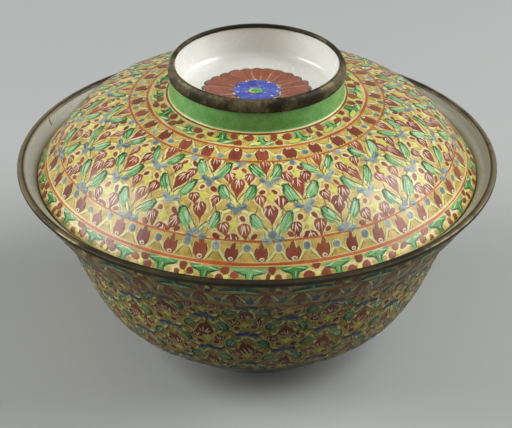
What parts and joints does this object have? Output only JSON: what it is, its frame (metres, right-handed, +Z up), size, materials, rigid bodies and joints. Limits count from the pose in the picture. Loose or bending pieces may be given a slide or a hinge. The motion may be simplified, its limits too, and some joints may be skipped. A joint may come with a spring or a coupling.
{
  "type": "covered bowl",
  "caption": "Round covered bowl on a foot ring with a flared metal-bound mouth, and a low domed cover that sits inside the mouth and lifts off by a metal-bound ring handle.",
  "frame": {"origin": "centre of the foot ring, on the surface that the bowl stands on", "axes": "+Z up along the pot's axis"},
  "size_m": [0.21, 0.21, 0.134],
  "materials": {
    "bowl_porcelain": "glossy white glaze, covered outside with a small painted flower pattern in maroon, green, yellow and blue grey enamels",
    "cover_porcelain": "glossy white glaze, covered outside with a small painted flower pattern in maroon, green, yellow and blue grey enamels",
    "band_metal": "dark brown patina, rubbed brighter on the edges"
  },
  "bodies": {
    "bowl": {"bowl": "bowl_porcelain", "bowl_rim_band": "band_metal"},
    "cover": {"cover": "cover_porcelain", "cover_ring_band": "band_metal"}
  },
  "joints": [
    {"name": "cover_lift", "type": "slide", "parent": "bowl", "child": "cover", "axis": [0, 0, 1], "range_m": [0, 0.06]}
  ]
}
